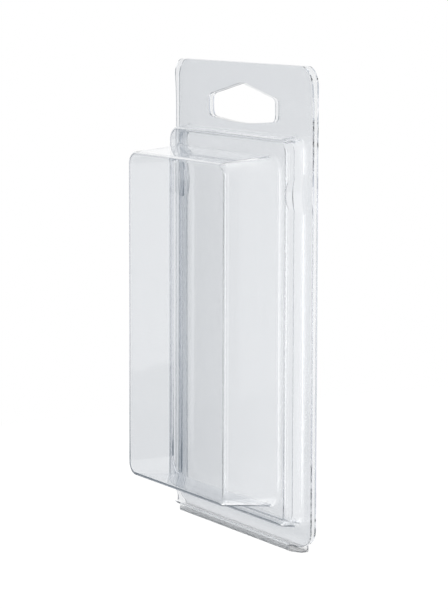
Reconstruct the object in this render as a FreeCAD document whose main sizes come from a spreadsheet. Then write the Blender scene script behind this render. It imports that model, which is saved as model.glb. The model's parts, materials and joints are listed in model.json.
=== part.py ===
"""Clear hinged clamshell pack, closed and empty, as it hangs from a peg.

Millimetres, +Z up, -Y towards the shopper. The origin is the apex of the hang
hole on the rear face of the back half. Each half is one thermoformed sheet.
"""
import FreeCAD, Part
import math
import os
import Sketcher

# Two measured lengths closer than this are the same.
SNUG = 1e-4

# The bead's two rounds as a share of the sheet, just short of meeting.
BEAD_FULLNESS = 0.499

SIZES = {
    "sheet": 0.4,
    "panel_width": 66.0,
    "panel_height": 109.6,
    "top_corner_radius": 4.5,
    "foot_corner_radius": 4.0,
    "flange_gap": 0.7,
    "header_height": 15.9,
    "header_spring": 0.6,
    "spring_bend_radius": 100.0,
    "side_margin": 3.8,
    "foot_margin": 3.6,
    "plinth_depth": 4.3,
    "plinth_draft": 6.5,
    "plinth_corner_radius": 3.2,
    "plinth_edge_radius": 1.0,
    "plinth_root_radius": 0.8,
    "ledge_side": 3.0,
    "ledge_top": 4.05,
    "ledge_foot": 4.0,
    "box_depth": 13.4,
    "box_draft": 5.5,
    "box_corner_radius": 3.0,
    "box_edge_radius": 1.1,
    "box_root_radius": 0.9,
    "notch_length": 9.0,
    "notch_drop": 8.6,
    "notch_peak": 1.6,
    "notch_radius": 10.0,
    "plug_height": 3.0,
    "plug_clearance": 0.3,
    "hole_margin": 4.7,
    "hole_width": 32.0,
    "hole_roof": 3.3,
    "hole_side": 5.2,
    "hole_bow": 1.3,
    "hole_corner_radius": 1.5,
    "hole_bow_radius": 100.0,
    "hinge_inset": 3.3,
    "hinge_drop": 1.5,
    "hinge_taper": 3.4,
    "taper_depth": 2.05,
    "flare_radius": 1.3,
    "flare_reach": 1.5,
    "curl_reach": 0.95,
    "curl_radius": 0.8,
    "crease_gap": 0.1,
    "form_overhang": 3.0,
}

# Places worked out from the sizes, in the pack's own frame.
PLACES = {
    "half_width": "Size.panel_width / 2",
    "panel_top": "Size.hole_margin",
    "panel_foot": "Size.hole_margin - Size.panel_height",
    "back_front_y": "-Size.sheet",
    "flange_y": "-2 * Size.sheet - Size.flange_gap",
    "plinth_y": "flange_y - Size.plinth_depth",
    "box_y": "plinth_y - Size.box_depth",
    "plinth_half": "half_width - Size.side_margin",
    "plinth_top": "panel_top - Size.header_height",
    "plinth_foot": "panel_foot + Size.foot_margin",
    "plinth_shrink": "Size.plinth_depth * tan(Size.plinth_draft * 1 deg)",
    "box_flare": "Size.box_depth * tan(Size.box_draft * 1 deg)",
    "box_base_half": "plinth_half - plinth_shrink - Size.ledge_side",
    "box_base_top": "plinth_top - plinth_shrink - Size.ledge_top",
    "box_base_foot": "plinth_foot + plinth_shrink + Size.ledge_foot",
    "box_base_radius": "Size.box_corner_radius + box_flare",
    "plinth_base_radius": "Size.plinth_corner_radius + plinth_shrink",
    "notch_top": "plinth_top - Size.notch_drop",
    "notch_foot": "notch_top - Size.notch_length",
    "notch_middle": "notch_top - Size.notch_length / 2",
    "notch_half": "plinth_half - Size.notch_peak",
    "beyond_half": "half_width + Size.form_overhang",
    "beyond_top": "panel_top + Size.form_overhang",
    "beyond_foot": "panel_foot - Size.form_overhang",
    "die_depth": "2 * (Size.form_overhang - box_y)",
    "trim_foot": "panel_foot - Size.sheet",
    "form_rear_y": "Size.form_overhang",
    "lean_z": "(panel_top + plinth_top) / 2",
    "lean_top_y": "flange_y - Size.header_spring * (beyond_top - lean_z) / (panel_top - lean_z)",
    "flare_y": "flange_y - Size.flare_reach",
    "curl_y": "flare_y - Size.curl_reach",
    "curl_inner_y": "curl_y + Size.sheet",
    "curl_inner_radius": "Size.curl_radius - Size.sheet",
    "crease_z": "panel_foot - Size.hinge_drop",
    "run_end_y": "-Size.sheet - Size.crease_gap",
    "run_top_z": "crease_z + Size.sheet / 2",
    "run_foot_z": "crease_z - Size.sheet / 2",
    "hinge_half": "half_width - Size.hinge_inset",
    "hinge_width": "2 * hinge_half",
    "taper_half": "hinge_half - Size.hinge_taper",
    "taper_y": "curl_y + Size.taper_depth",
    "form_width": "2 * beyond_half",
    "tongue_top": "panel_foot + Size.sheet",
    "bead_radius": f"{BEAD_FULLNESS} * Size.sheet",
    "plug_play": "Size.sheet + Size.plug_clearance",
    "plug_half": "plinth_half - plug_play",
    "plug_top": "plinth_top - plug_play",
    "plug_foot": "plinth_foot + plug_play",
    "plug_y": "back_front_y - Size.plug_height",
    "plug_notch_half": "notch_half - plug_play",
    "plug_base_radius": "plinth_base_radius - plug_play",
    "hole_half": "Size.hole_width / 2",
    "hole_shoulder": "-Size.hole_roof",
    "hole_side_foot": "hole_shoulder - Size.hole_side",
    "hole_foot": "hole_side_foot - Size.hole_bow",
}

doc = FreeCAD.newDocument("clamshell")
sizes = doc.addObject("Spreadsheet::Sheet", "Size")
places = doc.addObject("Spreadsheet::Sheet", "Place")


def fill(table, entries, lead):
    """Write one named cell for each entry."""
    for row, (name, entry) in enumerate(entries.items(), start=1):
        table.set(f"A{row}", name)
        table.set(f"B{row}", f"{lead}{entry}")
        table.setAlias(f"B{row}", name)
    doc.recompute()


fill(sizes, SIZES, "")
fill(places, PLACES, "=")


def number(text):
    """The value of names joined by signs, such as Place.plinth_half - Size.sheet."""
    total, sign = 0.0, 1
    for word in text.split():
        if word in "+-":
            sign = 1 if word == "+" else -1
            continue
        flip = -1 if word.startswith("-") else 1
        table, alias = word.lstrip("-").split(".")
        cell = getattr(doc.getObject(table), alias)
        total += sign * flip * float(getattr(cell, "Value", cell))
    return total


def minus(text):
    """The same names with every sign turned round."""
    words = [{"+": "-", "-": "+"}.get(word, word) for word in text.split()]
    words[0] = words[0][1:] if words[0].startswith("-") else f"-{words[0]}"
    return " ".join(words)


def sketch_on(body, name, role, rise=None):
    """A sketch on one of the body's own planes, raised by a named distance."""
    sketch = body.newObject("Sketcher::SketchObject", name)
    plane = next(item for item in body.Origin.OriginFeatures if item.Role == role)
    sketch.AttachmentSupport = (plane, [""])
    sketch.MapMode = "FlatFace"
    if rise:
        sketch.setExpression("AttachmentOffset.Base.z", rise)
    return sketch


def coordinate(name):
    """A corner's place along one axis, which is zero where it has no name."""
    return number(name) if name else 0.0


def pin_corner(sketch, corner):
    """Add a construction point held at a corner's two named coordinates."""
    across, up, _ = corner
    spot = FreeCAD.Vector(coordinate(across), coordinate(up), 0)
    point = sketch.addGeometry(Part.Point(spot), True)
    for kind, name, axis in (("DistanceX", across, -2), ("DistanceY", up, -1)):
        if name:
            rule = Sketcher.Constraint(kind, -1, 1, point, 1, number(name))
            sketch.setExpression(f"Constraints[{sketch.addConstraint(rule)}]", name)
        else:
            sketch.addConstraint(Sketcher.Constraint("PointOnObject", point, 1, axis))
    return point, spot


def round_corner(before, spot, after, radius):
    """The arc that rounds a corner, with its two tangent points in drawing order."""
    inward = (before - spot).normalize()
    outward = (after - spot).normalize()
    half_angle = inward.getAngle(outward) / 2
    middle = (inward + outward).normalize()
    centre = spot + middle * (radius / math.sin(half_angle))
    setback = radius / math.tan(half_angle)
    first, last = spot + inward * setback, spot + outward * setback
    waist = centre - middle * radius
    return Part.Arc(first, waist, last), first, last


def trace(sketch, corners):
    """Draw a closed outline through corners given as (across, up, radius) names."""
    pins = [pin_corner(sketch, corner) for corner in corners]
    spots = [spot for _, spot in pins]
    count = len(corners)
    arcs, starts, ends = {}, list(spots), list(spots)
    for index, (_, _, radius) in enumerate(corners):
        if radius:
            arc, first, last = round_corner(
                spots[index - 1], spots[index], spots[(index + 1) % count], number(radius))
            arcs[index] = sketch.addGeometry(arc, False)
            ends[index], starts[index] = first, last
    lines = [sketch.addGeometry(Part.LineSegment(starts[index], ends[(index + 1) % count]), False)
             for index in range(count)]
    for index, (_, _, radius) in enumerate(corners):
        point = pins[index][0]
        before, after = lines[index - 1], lines[index]
        if not radius:
            sketch.addConstraint(Sketcher.Constraint("Coincident", before, 2, point, 1))
            sketch.addConstraint(Sketcher.Constraint("Coincident", after, 1, point, 1))
            continue
        arc = arcs[index]
        forward = sketch.getPoint(arc, 1).distanceToPoint(ends[index]) < SNUG
        entry, leave = (1, 2) if forward else (2, 1)
        sketch.addConstraint([
            Sketcher.Constraint("PointOnObject", point, 1, before),
            Sketcher.Constraint("PointOnObject", point, 1, after),
            Sketcher.Constraint("Tangent", before, 2, arc, entry),
            Sketcher.Constraint("Tangent", arc, leave, after, 1)])
        rule = Sketcher.Constraint("Radius", arc, number(radius))
        sketch.setExpression(f"Constraints[{sketch.addConstraint(rule)}]", radius)


def linked(item, **links):
    """Tie an object's named properties to the sheets and hand it back."""
    for prop, source in links.items():
        item.setExpression(prop, source)
    return item


def pad(body, name, profile, **links):
    """Pad a sketch away from its plane."""
    item = body.newObject("PartDesign::Pad", name)
    item.Profile = profile
    return linked(item, **links)


def pad_across(body, name, profile, width):
    """Pad a side profile evenly to both sides of the pack's middle."""
    item = pad(body, name, profile, Length=width)
    item.SideType = "Symmetric"
    return item


def reach(piece):
    """The box round an edge's or a face's corners."""
    box = FreeCAD.BoundBox()
    for vertex in piece.Vertexes:
        box.add(vertex.Point)
    return box


def near(value, name):
    """True where a measured coordinate is the named one."""
    return abs(value - number(name)) < SNUG


def pick(base, prefix, test):
    """Names of a feature's edges or faces whose corners' box passes a test."""
    doc.recompute()
    pieces = base.Shape.Edges if prefix == "Edge" else base.Shape.Faces
    found = [f"{prefix}{index}" for index, piece in enumerate(pieces, start=1) if test(reach(piece))]
    if not found:
        raise RuntimeError(f"nothing picked on {base.Name}")
    return found


def fillet(body, name, radius, test):
    """Round the edges of the body's last feature that pass a test."""
    base = body.Tip
    found = pick(base, "Edge", test)
    item = body.newObject("PartDesign::Fillet", name)
    item.Base = (base, found)
    linked(item, Radius=radius)
    doc.recompute()


def rounded(half, top, foot, radius):
    """The corners of an upright rounded rectangle about the pack's middle."""
    left = minus(half)
    return [(left, foot, radius), (half, foot, radius), (half, top, radius), (left, top, radius)]


def raise_step(body, name, base_y, face_y, size, radius, length, draft):
    """A rounded block on the form, drafted in from its base so that it leaves the mould."""
    sketch = sketch_on(body, f"{name}Base", "XZ_Plane", minus(base_y))
    trace(sketch, rounded(*size, radius))
    block = pad(body, name, sketch, Length=length)
    walls = pick(block, "Face", rises(base_y, face_y))
    floor = pick(block, "Face", lambda box: near(box.YMin, base_y) and near(box.YMax, base_y))
    item = body.newObject("PartDesign::Draft", f"{name}Draft")
    item.Base = (block, walls)
    item.NeutralPlane = (block, floor[:1])
    doc.recompute()
    linked(item, Angle=draft)
    doc.recompute()
    # The floor's own direction decides which way the walls lean at first.
    if item.Shape.Volume > block.Shape.Volume:
        item.Reversed = True
        doc.recompute()


def rises(low, high):
    """Test for walls that run from one named depth to another."""
    return lambda box: near(box.YMin, high) and near(box.YMax, low)


def rims(depth, half, top, foot, outside=False):
    """Test for edges at one depth, inside or outside a named rectangle."""
    def test(box):
        if not (near(box.YMin, depth) and near(box.YMax, depth)):
            return False
        wide = max(box.XMax, -box.XMin) > number(half) + SNUG
        tall = box.ZMax > number(top) + SNUG or box.ZMin < number(foot) - SNUG
        return (wide or tall) == outside
    return test


def cut(body, name, sketch, reverse):
    """Cut a sketch's outlines right through the body, and stop if they miss it."""
    item = body.newObject("PartDesign::Pocket", name)
    item.Profile = sketch
    item.Type = "ThroughAll"
    item.Reversed = reverse
    before = body.Shape.Volume
    doc.recompute()
    if item.Shape.Volume >= before:
        raise RuntimeError(f"{name} cuts nothing")


def notches(body, depth, mouth, peak, radius):
    """Press a shallow rounded snap notch into each side wall of a raised step."""
    sketch = sketch_on(body, f"{body.Name}NotchProfile", "XZ_Plane", minus(depth))
    top, middle, foot = "Place.notch_top", "Place.notch_middle", "Place.notch_foot"
    beyond = "Place.beyond_half"
    trace(sketch, [(mouth, foot, None), (beyond, foot, None), (beyond, top, None), (mouth, top, None),
                   (peak, middle, radius)])
    left_mouth, left_peak, left_beyond = minus(mouth), minus(peak), minus(beyond)
    trace(sketch, [(left_mouth, top, None), (left_beyond, top, None), (left_beyond, foot, None),
                   (left_mouth, foot, None), (left_peak, middle, radius)])
    cut(body, f"{body.Name}Notches", sketch, True)


def exact(text):
    """A named length of the form's outer skin."""
    return text


def less(text):
    """A named length that is one sheet shorter inside the skin."""
    return f"{text} - Size.sheet"


def more(text):
    """A named length that is one sheet longer inside the skin."""
    return f"{text} + Size.sheet"


def front_form(name, shrink, grow):
    """The lid as a solid: slab, low plinth and deep box, one side of its skin."""
    body = doc.addObject("PartDesign::Body", name)
    flange, plinth_y, box_y = grow("Place.flange_y"), grow("Place.plinth_y"), grow("Place.box_y")
    plinth = (shrink("Place.plinth_half"), shrink("Place.plinth_top"), grow("Place.plinth_foot"))
    box = (shrink("Place.box_base_half"), shrink("Place.box_base_top"), grow("Place.box_base_foot"))
    side = sketch_on(body, f"{name}Side", "YZ_Plane")
    trace(side, [
        (grow("Place.form_rear_y"), "Place.beyond_top", None),
        (grow("Place.form_rear_y"), "Place.beyond_foot", None),
        ("Place.flare_y", "Place.beyond_foot", None),
        ("Place.flare_y", shrink("Place.panel_foot"), None),
        (flange, shrink("Place.panel_foot"), grow("Size.flare_radius")),
        (flange, "Place.lean_z", "Size.spring_bend_radius"),
        (grow("Place.lean_top_y"), "Place.beyond_top", None)])
    pad_across(body, f"{name}Slab", side, "Place.form_width")
    raise_step(body, f"{name}Plinth", flange, plinth_y, plinth, shrink("Place.plinth_base_radius"),
               "Size.plinth_depth", "Size.plinth_draft")
    raise_step(body, f"{name}Box", plinth_y, box_y, box, shrink("Place.box_base_radius"),
               "Size.box_depth", "Size.box_draft")
    fillet(body, f"{name}BoxEdges", shrink("Size.box_edge_radius"), rims(box_y, *box))
    fillet(body, f"{name}PlinthEdges", shrink("Size.plinth_edge_radius"), rims(plinth_y, *box, outside=True))
    fillet(body, f"{name}BoxRoot", grow("Size.box_root_radius"), rims(plinth_y, *box))
    fillet(body, f"{name}PlinthRoot", grow("Size.plinth_root_radius"), rims(flange, *plinth))
    notches(body, flange, plinth[0], shrink("Place.notch_half"), grow("Size.notch_radius"))
    return body


def back_form(name, shrink, grow):
    """The back as a solid: slab and low plug, one side of its skin."""
    body = doc.addObject("PartDesign::Body", name)
    face_y, plug_y, rear_y = grow("Place.back_front_y"), grow("Place.plug_y"), grow("Place.form_rear_y")
    plug = (shrink("Place.plug_half"), shrink("Place.plug_top"), grow("Place.plug_foot"))
    side = sketch_on(body, f"{name}Side", "YZ_Plane")
    trace(side, [
        (rear_y, "Place.beyond_top", None),
        (rear_y, "Place.beyond_foot", None),
        (face_y, "Place.beyond_foot", None),
        (face_y, "Place.beyond_top", None)])
    pad_across(body, f"{name}Slab", side, "Place.form_width")
    raise_step(body, f"{name}Plug", face_y, plug_y, plug, shrink("Place.plug_base_radius"),
               "Size.plug_height", "Size.plinth_draft")
    notches(body, face_y, plug[0], shrink("Place.plug_notch_half"), grow("Size.notch_radius"))
    return body


def die(name, foot):
    """The cutting die: the pack's outline with the hang hole, deep enough for both halves."""
    body = doc.addObject("PartDesign::Body", name)
    sketch = sketch_on(body, f"{name}Outline", "XZ_Plane")
    half, top = "Place.half_width", "Place.panel_top"
    head, base = "Size.top_corner_radius", "Size.foot_corner_radius"
    trace(sketch, [(minus(half), foot, base), (half, foot, base), (half, top, head),
                   (minus(half), top, head)])
    side, shoulder = "Place.hole_half", "Place.hole_shoulder"
    ledge, bottom = "Place.hole_side_foot", "Place.hole_foot"
    corner, bow = "Size.hole_corner_radius", "Size.hole_bow_radius"
    trace(sketch, [("", "", corner), (minus(side), shoulder, corner), (minus(side), ledge, corner),
                   ("", bottom, bow), (side, ledge, corner), (side, shoulder, corner)])
    pad_across(body, f"{name}Block", sketch, "Place.die_depth")
    return body


def hinge_loop():
    """The lid's side of the hinge: a curl below the flange that runs back to the crease."""
    body = doc.addObject("PartDesign::Body", "Loop")
    profile = sketch_on(body, "LoopProfile", "YZ_Plane")
    trace(profile, [
        ("Place.flare_y", "Place.panel_foot", None),
        ("Place.curl_y", "Place.panel_foot", "Size.curl_radius"),
        ("Place.curl_y", "Place.run_foot_z", "Size.curl_radius"),
        ("Place.run_end_y", "Place.run_foot_z", None),
        ("Place.run_end_y", "Place.run_top_z", None),
        ("Place.curl_inner_y", "Place.run_top_z", "Place.curl_inner_radius"),
        ("Place.curl_inner_y", "Place.trim_foot", "Place.curl_inner_radius"),
        ("Place.flare_y", "Place.trim_foot", None)])
    pad_across(body, "LoopStrip", profile, "Place.hinge_width")
    doc.recompute()
    ends = sketch_on(body, "LoopEnds", "XY_Plane")
    side, near_side = "Place.hinge_half", "Place.taper_half"
    trace(ends, [(side, "Place.taper_y", None), (near_side, "Place.curl_y", None),
                 (side, "Place.curl_y", None)])
    trace(ends, [(minus(side), "Place.taper_y", None), (minus(side), "Place.curl_y", None),
                 (minus(near_side), "Place.curl_y", None)])
    cut(body, "LoopTapers", ends, False)
    return body


def hinge_tongue():
    """The back's side of the hinge: a tongue with a rounded end on the crease."""
    body = doc.addObject("PartDesign::Body", "Tongue")
    profile = sketch_on(body, "TongueProfile", "YZ_Plane")
    trace(profile, [
        ("", "Place.tongue_top", None),
        ("", "Place.run_foot_z", "Place.bead_radius"),
        ("Place.back_front_y", "Place.run_foot_z", "Place.bead_radius"),
        ("Place.back_front_y", "Place.tongue_top", None)])
    pad_across(body, "TongueStrip", profile, "Place.hinge_width")
    return body


def combine(kind, name, base, tool):
    """One boolean step between two shapes of the document."""
    item = doc.addObject(f"Part::{kind}", name)
    item.Base = base
    item.Tool = tool
    item.Refine = True
    doc.recompute()
    return item


def half_pack(node, outer, inner, cutter, strip):
    """One half: the skin between two forms, die cut, with its strip of the hinge."""
    skin = combine("Cut", f"{node}_skin", outer, inner)
    sheet = combine("Common", f"{node}_sheet", skin, cutter)
    whole = combine("Fuse", node, sheet, strip)
    whole.Label = node
    return whole


def check_all():
    """Stop if any object of the document failed."""
    for item in doc.Objects:
        if "Invalid" in item.State or "Error" in item.State:
            raise RuntimeError(f"{item.Label}: {item.State}")


def save(half):
    """Write one checked half to its own file."""
    shape = half.Shape
    if shape.isNull() or not shape.isValid() or len(shape.Solids) != 1:
        raise RuntimeError(f"{half.Label} isn't one valid solid")
    shape.exportStep(f"parts/{half.Label}.step")
    box = shape.optimalBoundingBox()
    print(half.Label, f"{shape.Volume:.1f} mm3, x {box.XMin:.2f} {box.XMax:.2f},"
          f" y {box.YMin:.2f} {box.YMax:.2f}, z {box.ZMin:.2f} {box.ZMax:.2f}")


halves = [
    half_pack("back_shell", back_form("BackOuter", exact, exact), back_form("BackInner", less, more),
              die("BackDie", "Place.panel_foot"), hinge_tongue()),
    half_pack("front_shell", front_form("FrontOuter", exact, exact), front_form("FrontInner", less, more),
              die("FrontDie", "Place.trim_foot"), hinge_loop()),
]
check_all()
os.makedirs("parts", exist_ok=True)
for half in halves:
    save(half)
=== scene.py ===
"""Looks for the clear clamshell pack: a glossy clear sheet, a pale studio and the photographed view.

Metres, in the frame of the pack: +Z up, -Y towards the shopper, origin at the hang hole's apex.
"""

import json
import math

import bmesh
import bpy
from mathutils import Matrix, Vector


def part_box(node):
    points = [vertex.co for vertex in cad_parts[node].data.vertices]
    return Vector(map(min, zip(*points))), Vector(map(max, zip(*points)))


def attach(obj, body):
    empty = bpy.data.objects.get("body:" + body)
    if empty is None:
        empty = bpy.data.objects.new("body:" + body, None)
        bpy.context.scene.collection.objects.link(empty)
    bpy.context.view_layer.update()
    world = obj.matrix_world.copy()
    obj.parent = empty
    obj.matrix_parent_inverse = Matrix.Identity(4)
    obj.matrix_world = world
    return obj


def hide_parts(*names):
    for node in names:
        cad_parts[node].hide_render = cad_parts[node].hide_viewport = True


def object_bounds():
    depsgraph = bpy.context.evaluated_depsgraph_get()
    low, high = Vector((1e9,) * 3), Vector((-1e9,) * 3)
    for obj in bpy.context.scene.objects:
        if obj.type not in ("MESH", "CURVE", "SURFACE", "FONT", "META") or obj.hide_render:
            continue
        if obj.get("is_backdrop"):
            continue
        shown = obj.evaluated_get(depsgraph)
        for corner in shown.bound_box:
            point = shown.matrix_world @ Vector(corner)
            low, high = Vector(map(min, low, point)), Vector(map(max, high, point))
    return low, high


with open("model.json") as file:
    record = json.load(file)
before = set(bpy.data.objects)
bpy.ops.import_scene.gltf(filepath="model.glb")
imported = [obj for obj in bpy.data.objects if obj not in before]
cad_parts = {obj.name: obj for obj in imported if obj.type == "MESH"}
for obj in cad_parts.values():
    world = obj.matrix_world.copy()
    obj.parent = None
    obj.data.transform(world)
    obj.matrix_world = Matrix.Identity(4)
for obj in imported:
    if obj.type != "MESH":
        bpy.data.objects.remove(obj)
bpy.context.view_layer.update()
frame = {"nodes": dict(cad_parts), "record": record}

# The photographed view, as a camera fitted to the pack's edges.
FRAME_PIXELS = (448, 609)
FOCAL_PIXELS = 2674.3
VIEW_TURN = math.radians(61.33)
VIEW_FALL = math.radians(7.12)
VIEW_ROLL = math.radians(-0.135)
VIEW_DISTANCE = 0.629
AIM = Vector((0.0, -0.0015, -0.01875))
AIM_PIXEL = (241.26, 162.23)
SENSOR_MM = 36.0
NEAREST = 0.01

# The floor. Reflections see it white only in a pool under the pack, which fades out over this range.
FLOOR_DROP = 0.25
FLOOR_REACH = 1.5
FLOOR_COLOR = (0.8, 0.8, 0.8)
FLOOR_GLOW = 0.78
POOL_EDGE = (0.15, 0.3)

# How bright the studio is to each kind of ray, where 1 is white.
WHITE = (1.0, 1.0, 1.0)
ROOM_FOR_MATT = (0.3, 0.3, 0.3)
ROOM_FOR_GLOSS = (0.165, 0.19, 0.22)
ROOM_FOR_EDGES = (0.62, 0.65, 0.69)

# A ray is mirrored, or trapped in the sheet, above these numbers of reflections.
MIRRORED_ABOVE = 0.5
TRAPPED_ABOVE = 3.5

# Reflections see a white backdrop about this turn from +X, which fades in between these cosines.
BACKDROP_TURN = math.radians(105)
BACKDROP_EDGE = (math.cos(math.radians(88)), math.cos(math.radians(64)))

# Upright softboxes: turn about the pack from +X in degrees, width and radiance.
SOFTBOXES = {
    "front_softbox": (-70.0, 0.70, 4.0),
    "side_softbox": (-7.0, 0.16, 3.0),
    "left_softbox": (-118.0, 0.20, 3.0),
}
SOFTBOX_HEIGHT = 1.1
SOFTBOX_DISTANCE = 1.3

# Rounds of the plug. The side of the sheet away from a bend's centre has the larger one.
GAUGE = 0.0004
LARGE_ROUND = 0.0007
SMALL_ROUND = LARGE_ROUND - GAUGE
ROUND_STEPS = 4
SHARP_TURN = math.radians(50)
SMOOTH_TURN = math.radians(32)
FLAT_TURN = math.radians(0.4)
SNUG = 0.00002
MERGE = 0.000005

# The plug's edges lie this far inside the back half's sides and foot, and below this height.
PLUG_SIDE = 0.003
PLUG_FOOT = 0.003
PLUG_ROOF = -0.0105

# The sheet's finish, in metres where it is a length.
SHEET_TINT = (0.98, 0.988, 0.998)
SHEET_IOR = 1.57
SHEET_ROUGHNESS = 0.018
RIPPLE_PER_METRE = 55.0
RIPPLE_HEIGHT = 0.00002
GRAIN_PER_METRE = (260.0, 260.0, 30.0)
GRAIN_SHARE = 0.06
SCRATCH_PER_METRE = (2400.0, 2400.0, 90.0)
SCRATCH_TURN = (0.5, 0.4, 0.9)
SCRATCH_EDGE = (0.68, 0.78)
SCUFF_PER_METRE = 70.0
SCUFF_EDGE = (0.5, 0.7)
SCUFF_ROUGHNESS = 0.1
CREASE_EDGE = (0.0003, 0.0009)
CREASE_ROUGHNESS = 0.4
LIGHT_BOUNCES = 110

# Where a Mix node keeps its two colours and their mixture.
MIX_FIRST = 6
MIX_SECOND = 7
MIX_RESULT = 2


class Shade:
    """A shader socket that takes part in plain arithmetic."""

    def __init__(self, finish, socket):
        self.finish = finish
        self.socket = socket

    def combine(self, operation, *values):
        return self.finish.node("ShaderNodeMath", {"operation": operation}, values)

    def __add__(self, other):
        return self.combine("ADD", self, other)

    def __radd__(self, other):
        return self.combine("ADD", other, self)

    def __sub__(self, other):
        return self.combine("SUBTRACT", self, other)

    def __rsub__(self, other):
        return self.combine("SUBTRACT", other, self)

    def __mul__(self, other):
        return self.combine("MULTIPLY", self, other)

    def __gt__(self, other):
        return self.combine("GREATER_THAN", self, other)

    def __abs__(self):
        return self.combine("ABSOLUTE", self)


class Finish:
    """A node tree under construction."""

    def __init__(self, owner):
        owner.use_nodes = True
        self.tree = owner.node_tree
        self.tree.nodes.clear()

    def node(self, kind, settings=None, values=None, output=0):
        """Add a node, set it up, fill its sockets by place or name and give back one output."""
        item = self.tree.nodes.new(kind)
        for name, value in (settings or {}).items():
            setattr(item, name, value)
        pairs = values.items() if isinstance(values, dict) else enumerate(values or [])
        for key, value in pairs:
            if isinstance(value, Shade):
                self.tree.links.new(value.socket, item.inputs[key])
            else:
                item.inputs[key].default_value = value
        return Shade(self, item.outputs[output]) if item.outputs else None


def smooth_step(finish, value, low, high):
    """0 below low and 1 above high, with a soft change between."""
    settings = {"interpolation_type": "SMOOTHSTEP"}
    return finish.node("ShaderNodeMapRange", settings, {"Value": value, "From Min": low, "From Max": high})


def color_mix(finish, factor, first, second):
    """One colour turning into another as the factor goes from 0 to 1."""
    first, second = (value if isinstance(value, Shade) else (*value, 1.0) for value in (first, second))
    values = {"Factor": factor, MIX_FIRST: first, MIX_SECOND: second}
    return finish.node("ShaderNodeMix", {"data_type": "RGBA"}, values, output=MIX_RESULT)


def streaks(finish, place, per_metre, detail, turn=(0.0, 0.0, 0.0)):
    """Noise drawn out along the axis that has the fewest changes per metre."""
    drawn = finish.node("ShaderNodeMapping", values={"Vector": place, "Rotation": turn, "Scale": per_metre})
    return finish.node("ShaderNodeTexNoise", values={"Vector": drawn, "Scale": 1.0, "Detail": detail})


def clear_sheet(crease_height):
    """Clear formed PET: a faint blue cast, forming ripples, fine scuffs and a whitened crease."""
    material = bpy.data.materials.new("clear_formed_sheet")
    finish = Finish(material)
    place = finish.node("ShaderNodeTexCoord", output="Object")
    height = finish.node("ShaderNodeSeparateXYZ", values=[place], output="Z")

    ripple = finish.node("ShaderNodeTexNoise", values={
        "Vector": place, "Scale": RIPPLE_PER_METRE, "Detail": 1.5, "Roughness": 0.4})
    grain = streaks(finish, place, GRAIN_PER_METRE, detail=2.0)
    bump = finish.node("ShaderNodeBump", values={
        "Strength": 1.0, "Distance": RIPPLE_HEIGHT, "Height": ripple + grain * GRAIN_SHARE})

    scratch = streaks(finish, place, SCRATCH_PER_METRE, detail=1.0, turn=SCRATCH_TURN)
    patch = finish.node("ShaderNodeTexNoise", values={
        "Vector": place, "Scale": SCUFF_PER_METRE, "Detail": 2.0})
    scuff = smooth_step(finish, scratch, *SCRATCH_EDGE) * smooth_step(finish, patch, *SCUFF_EDGE)

    crease = 1.0 - smooth_step(finish, abs(height - crease_height), *CREASE_EDGE)
    tint = color_mix(finish, crease, SHEET_TINT, WHITE)
    roughness = SHEET_ROUGHNESS + scuff * SCUFF_ROUGHNESS + crease * CREASE_ROUGHNESS
    surface = finish.node("ShaderNodeBsdfPrincipled", values={
        "Base Color": tint, "Roughness": roughness, "IOR": SHEET_IOR, "Transmission Weight": 1.0,
        "Normal": bump})
    finish.node("ShaderNodeOutputMaterial", values={"Surface": surface})
    return material


def place_camera():
    """A camera whose picture fits the photographed one."""
    ahead = Vector((-math.sin(VIEW_TURN) * math.cos(VIEW_FALL),
                    math.cos(VIEW_TURN) * math.cos(VIEW_FALL), -math.sin(VIEW_FALL)))
    right = Vector((math.cos(VIEW_TURN), math.sin(VIEW_TURN), 0.0))
    up = right.cross(ahead)
    turn = Matrix.Rotation(VIEW_ROLL, 3, ahead)
    right, up = turn @ right, turn @ up
    per_pixel = VIEW_DISTANCE / FOCAL_PIXELS
    across = (AIM_PIXEL[0] - FRAME_PIXELS[0] / 2) * per_pixel
    down = (AIM_PIXEL[1] - FRAME_PIXELS[1] / 2) * per_pixel
    spot = AIM - ahead * VIEW_DISTANCE - right * across + up * down
    camera = bpy.data.cameras.new("view")
    camera.sensor_fit = "VERTICAL"
    camera.sensor_height = SENSOR_MM
    camera.lens = FOCAL_PIXELS / FRAME_PIXELS[1] * SENSOR_MM
    camera.clip_start = NEAREST
    holder = bpy.data.objects.new("view", camera)
    holder.matrix_world = Matrix.Translation(spot) @ Matrix((right, up, -ahead)).transposed().to_4x4()
    bpy.context.scene.collection.objects.link(holder)
    bpy.context.scene.camera = holder


def ray_kinds(finish):
    """What kind of ray is looking, each 0 or 1.

    Straight came through the sheet with no reflection, Mirrored was reflected at least once,
    and Trapped was reflected many times.
    """
    camera, through, matt, reflections = (
        finish.node("ShaderNodeLightPath", output=name)
        for name in ("Is Camera Ray", "Is Transmission Ray", "Is Diffuse Ray", "Glossy Depth"))
    mirrored = reflections > MIRRORED_ABOVE
    return {"Camera": camera, "Straight": through * (1.0 - mirrored), "Mirrored": mirrored,
            "Trapped": reflections > TRAPPED_ABOVE, "Diffuse": matt}


def room_color(finish, ray):
    """The room as reflections see it: dark at first, and paler to light that the sheet traps."""
    return color_mix(finish, ray["Trapped"], ROOM_FOR_GLOSS, ROOM_FOR_EDGES)


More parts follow.
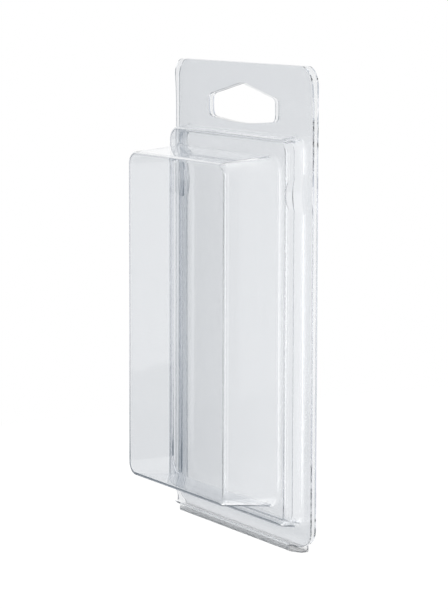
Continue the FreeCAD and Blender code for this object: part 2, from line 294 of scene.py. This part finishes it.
def build_world():
    """Pale studio: a white backdrop, and a greyer room that the glossy sheet reflects."""
    world = bpy.data.worlds.new("studio")
    bpy.context.scene.world = world
    finish = Finish(world)
    ray = ray_kinds(finish)
    way = finish.node("ShaderNodeTexCoord", output="Generated")
    backdrop_way = (math.cos(BACKDROP_TURN), math.sin(BACKDROP_TURN), 0.0)
    toward = finish.node("ShaderNodeVectorMath", {"operation": "DOT_PRODUCT"}, [way, backdrop_way], "Value")
    backdrop = smooth_step(finish, toward, *BACKDROP_EDGE)
    white = ray["Camera"] + ray["Straight"] + ray["Mirrored"] * backdrop
    room = color_mix(finish, ray["Diffuse"], room_color(finish, ray), ROOM_FOR_MATT)
    color = color_mix(finish, white, room, WHITE)
    light = finish.node("ShaderNodeBackground", values={"Color": color, "Strength": 1.0})
    finish.node("ShaderNodeOutputWorld", values={"Surface": light})


def build_softboxes():
    """Upright softboxes round the pack, for the bright lines along its rounded edges."""
    middle = sum((Vector(corner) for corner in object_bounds()), Vector()) / 2
    for name, (turn, width, radiance) in SOFTBOXES.items():
        lamp = bpy.data.lights.new(name, "AREA")
        lamp.shape = "RECTANGLE"
        lamp.size = width
        lamp.size_y = SOFTBOX_HEIGHT
        lamp.energy = radiance * math.pi * width * SOFTBOX_HEIGHT
        holder = bpy.data.objects.new(name, lamp)
        angle = math.radians(turn)
        way = Vector((math.cos(angle), math.sin(angle), 0.0))
        holder.location = middle + way * SOFTBOX_DISTANCE
        holder.rotation_euler = way.to_track_quat("Z", "Y").to_euler()
        holder.visible_camera = False
        holder.visible_transmission = False
        bpy.context.scene.collection.objects.link(holder)


def plug_edges(shape, depth, low, high):
    """The sharp edges at one depth that run round the plug, inside the back half's box."""
    found = []
    for edge in shape.edges:
        if len(edge.link_faces) != 2 or edge.calc_face_angle(0.0) < SHARP_TURN:
            continue
        spots = [vert.co for vert in edge.verts]
        if all(abs(spot.y - depth) < SNUG and abs(spot.x) < high[0] - PLUG_SIDE
               and low[2] + PLUG_FOOT < spot.z < PLUG_ROOF for spot in spots):
            found.append(edge)
    return found


def round_plug(material):
    """The back half with its plug's edges and roots rounded, as a formed sheet has them."""
    back = frame["nodes"]["back_shell"]
    shape = bmesh.new()
    shape.from_mesh(back.data)
    bmesh.ops.remove_doubles(shape, verts=shape.verts, dist=MERGE)
    bmesh.ops.dissolve_limit(shape, angle_limit=FLAT_TURN, verts=shape.verts, edges=shape.edges)
    low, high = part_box("back_shell")
    front, rear = low[1], high[1]
    for depth, size in ((front, LARGE_ROUND), (front + GAUGE, SMALL_ROUND),
                        (rear - GAUGE, SMALL_ROUND), (rear, LARGE_ROUND)):
        bmesh.ops.bevel(shape, geom=plug_edges(shape, depth, low, high), offset=size, offset_type="OFFSET",
                        segments=ROUND_STEPS, profile=0.5, affect="EDGES", material=-1, clamp_overlap=True)
    bmesh.ops.triangulate(shape, faces=[face for face in shape.faces if len(face.verts) > 4])
    mesh = bpy.data.meshes.new("rounded_back")
    shape.to_mesh(mesh)
    shape.free()
    mesh.shade_smooth()
    mesh.set_sharp_from_angle(angle=SMOOTH_TURN)
    mesh.materials.append(material)
    piece = bpy.data.objects.new("rounded_back", mesh)
    bpy.context.scene.collection.objects.link(piece)
    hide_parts("back_shell")
    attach(piece, "back")


def build_floor():
    """A plain pale floor under the hanging pack, with the pack's shadow."""
    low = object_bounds()[0][2] - FLOOR_DROP
    mesh = bpy.data.meshes.new("floor")
    shape = bmesh.new()
    bmesh.ops.create_grid(shape, x_segments=1, y_segments=1, size=FLOOR_REACH)
    bmesh.ops.translate(shape, verts=shape.verts, vec=(0.0, 0.0, low))
    shape.to_mesh(mesh)
    shape.free()
    floor = bpy.data.objects.new("floor", mesh)
    bpy.context.scene.collection.objects.link(floor)
    material = bpy.data.materials.new("pale_floor")
    finish = Finish(material)
    ray = ray_kinds(finish)
    place = finish.node("ShaderNodeTexCoord", output="Object")
    flat = finish.node("ShaderNodeVectorMath", {"operation": "MULTIPLY"}, [place, (1.0, 1.0, 0.0)])
    away = finish.node("ShaderNodeVectorMath", {"operation": "LENGTH"}, [flat], "Value")
    pool = 1.0 - smooth_step(finish, away, *POOL_EDGE)

    white = ray["Camera"] + ray["Mirrored"] * pool
    glow = finish.node("ShaderNodeEmission", values={"Color": (*WHITE, 1.0), "Strength": white * FLOOR_GLOW})
    matt = finish.node("ShaderNodeBsdfDiffuse", values={"Color": (*FLOOR_COLOR, 1.0)})
    lit = finish.node("ShaderNodeAddShader", values=[glow, matt])
    beyond = color_mix(finish, ray["Straight"], room_color(finish, ray), WHITE)
    plain = finish.node("ShaderNodeEmission", values={"Color": beyond, "Strength": 1.0})
    unlit = ray["Straight"] + ray["Mirrored"] * (1.0 - pool)
    surface = finish.node("ShaderNodeMixShader", values=[unlit, lit, plain])
    finish.node("ShaderNodeOutputMaterial", values={"Surface": surface})
    mesh.materials.append(material)
    floor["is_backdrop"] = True


scene = bpy.context.scene
scene.view_settings.view_transform = "Standard"
scene.cycles.max_bounces = LIGHT_BOUNCES
scene.cycles.transmission_bounces = LIGHT_BOUNCES
scene.cycles.glossy_bounces = LIGHT_BOUNCES
plastic = clear_sheet(frame["record"]["behaviour"]["joints"][0]["pos_m"][2])
for node in frame["nodes"].values():
    for slot in node.material_slots:
        slot.material = plastic
round_plug(plastic)
place_camera()
build_world()
build_softboxes()
build_floor()
